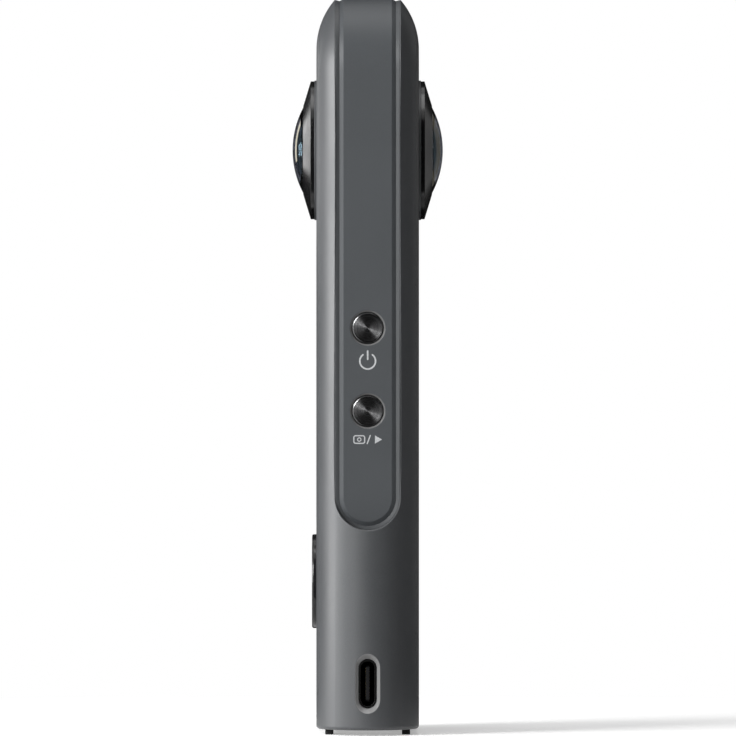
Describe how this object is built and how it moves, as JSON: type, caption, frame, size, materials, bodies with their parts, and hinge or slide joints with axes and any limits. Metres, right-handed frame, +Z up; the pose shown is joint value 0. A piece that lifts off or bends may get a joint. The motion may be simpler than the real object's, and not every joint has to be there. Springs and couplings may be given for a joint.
{
  "type": "360 degree camera",
  "caption": "Slim upright 360 degree camera with back-to-back domed lenses, touch display, shutter button, side keys, USB-C socket and battery door.",
  "frame": {"origin": "on the floor under the middle of the camera, at the underside of its rubber feet", "axes": "+Z up along the body; X across the width, +X to the keys and the USB socket, -X to the battery door; Y through the two lenses, -Y to the display and the shutter button"},
  "size_m": [0.0516, 0.028, 0.1362],
  "materials": {
    "housing": "satin moulded shell, dark grey",
    "band": "fine matt, dark bluish grey",
    "door": "fine matt, dark bluish grey",
    "slider": "matt, ribbed",
    "bezel": "smooth black, satin gloss",
    "lens_glass": "coated clear glass",
    "prism_glass": "clear polished glass",
    "barrel": "black anodised",
    "key": "black, spun face",
    "shutter_ring": "black gloss",
    "shutter_button": "matt dark grey",
    "display_glass": "polished black cover glass",
    "display_panel": "dark panel",
    "adhesive": "black adhesive",
    "socket_metal": "plain steel",
    "socket_shell": "black nickel plate",
    "tongue": "black",
    "screw_metal": "black zinc",
    "rubber": "matt black rubber",
    "board": "green solder mask",
    "chip": "black moulded package",
    "sensor": "dark sensor face",
    "chassis_metal": "die cast, as cast",
    "copper": "copper foil",
    "battery": "dark plastic case",
    "tray": "black moulding",
    "card": "black card",
    "light": "frosted clear light guide"
  },
  "bodies": {
    "root": {"antenna": "copper", "base_plate": "housing", "base_screws": "screw_metal", "battery": "battery", "battery_contacts": "chip", "battery_tray": "tray", "board_chips": "chip", "board_screws": "screw_metal", "board_shield": "socket_metal", "body_frame": "housing", "card_reader": "socket_metal", "chassis": "chassis_metal", "display_adhesive": "adhesive", "display_glass": "display_glass", "display_panel": "display_panel", "door_hinge_pin": "socket_metal", "front_cover": "housing", "front_lens_barrel": "barrel", "front_lens_bezel": "bezel", "front_lens_dome": "lens_glass", "front_lens_elements": "lens_glass", "front_lens_ring": "housing", "front_prism": "prism_glass", "front_sensor": "sensor", "front_sensor_board": "board", "heat_spreader": "copper", "main_board": "board", "memory_card": "card", "microphone": "chip", "optical_block": "barrel", "rear_cover": "housing", "rear_lens_barrel": "barrel", "rear_lens_bezel": "bezel", "rear_lens_dome": "lens_glass", "rear_lens_elements": "lens_glass", "rear_lens_ring": "housing", "rear_prism": "prism_glass", "rear_sensor": "sensor", "rear_sensor_board": "board", "rubber_feet": "rubber", "shutter_board": "board", "shutter_ring": "shutter_ring", "shutter_seal": "rubber", "shutter_switch": "chip", "side_band": "band", "side_key_board": "board", "side_key_seal": "rubber", "side_key_switches": "chip", "speaker": "chip", "status_light": "light", "tripod_socket": "socket_metal", "usb_board": "board", "usb_shell": "socket_shell", "usb_tongue": "tongue"},
    "power_key": {"power_key": "key"},
    "mode_key": {"mode_key": "key"},
    "shutter_button": {"shutter_button": "shutter_button"},
    "battery_door": {"battery_door": "door", "door_pad": "rubber"},
    "lock_slider": {"lock_slider": "slider"}
  },
  "joints": [
    {"name": "power_key_press", "type": "slide", "parent": "root", "child": "power_key", "axis": [-1, 0, 0], "range_m": [0, 0.00035], "stiffness_N_per_m": 400, "springref_m": -0.0003},
    {"name": "mode_key_press", "type": "slide", "parent": "root", "child": "mode_key", "axis": [-1, 0, 0], "range_m": [0, 0.00035], "stiffness_N_per_m": 400, "springref_m": -0.0003},
    {"name": "shutter_press", "type": "slide", "parent": "root", "child": "shutter_button", "axis": [0, 1, 0], "range_m": [0, 0.0004], "stiffness_N_per_m": 400, "springref_m": -0.0003},
    {"name": "door_hinge", "type": "hinge", "parent": "root", "child": "battery_door", "pos_m": [-0.0223, 0, 0.0472], "axis": [0, -1, 0], "range_deg": [0, 100]},
    {"name": "lock_slide", "type": "slide", "parent": "battery_door", "child": "lock_slider", "axis": [0, 0, 1], "range_m": [0, 0.0016]}
  ]
}
